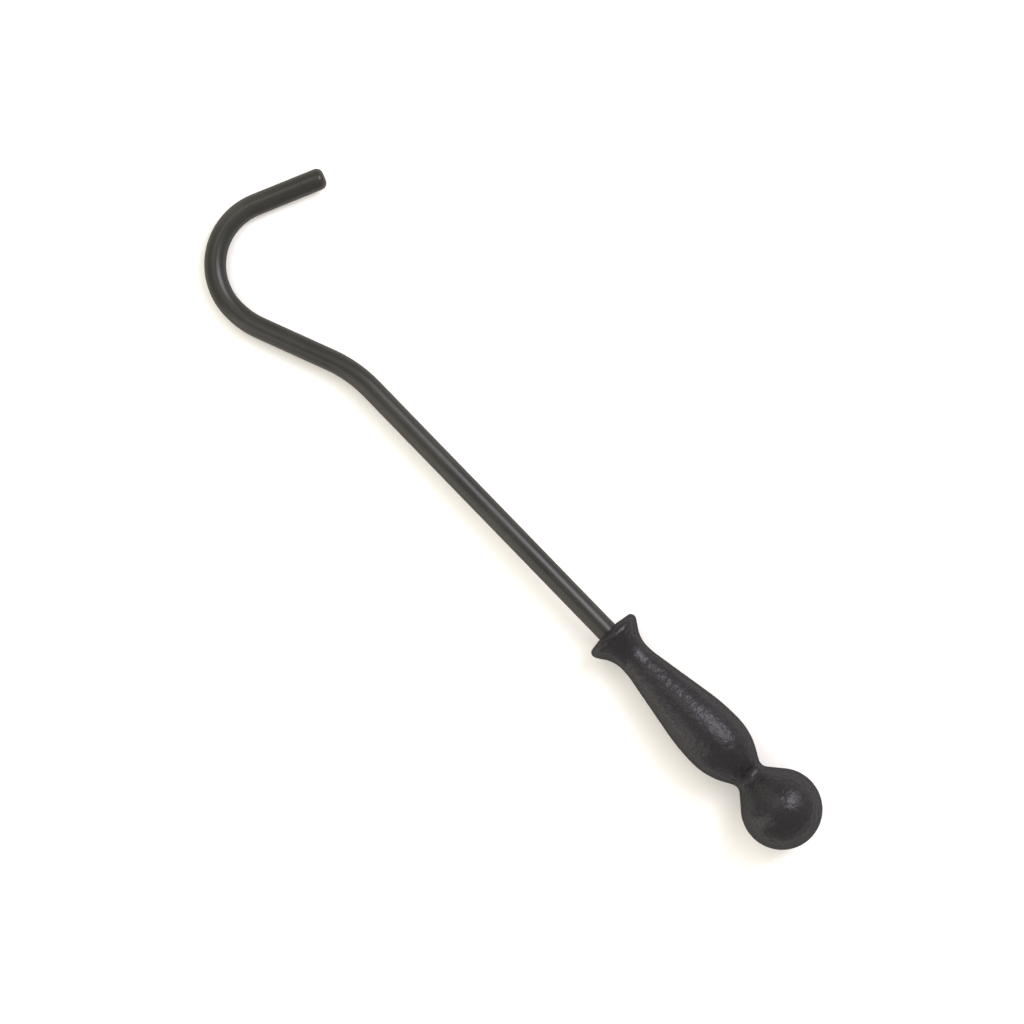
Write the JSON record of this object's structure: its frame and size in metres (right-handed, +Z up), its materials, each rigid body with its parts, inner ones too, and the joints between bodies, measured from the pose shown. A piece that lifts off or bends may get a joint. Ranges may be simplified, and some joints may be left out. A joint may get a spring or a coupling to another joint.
{
  "type": "hand pull hook",
  "caption": "Round steel bar bent into an open hook with a slight gooseneck, pinned into a cast handle with a flared collar, a belly grip and a ball end; catches and pulls by hand.",
  "frame": {"origin": "on the surface the tool lies on, under the middle of its box", "axes": "+X along the tool from the ball to the hook, +Z up from the surface, the hook's mouth opens towards -Y"},
  "size_m": [0.3712, 0.0742, 0.0352],
  "materials": {
    "bar_black": "smooth satin black coating on steel bar",
    "cast_black": "fine-grained as-cast surface under satin black coating",
    "pin_steel": "oiled spring steel"
  },
  "bodies": {
    "root": {"hook_rod": "bar_black", "handle": "cast_black", "lock_pin": "pin_steel"}
  },
  "joints": []
}
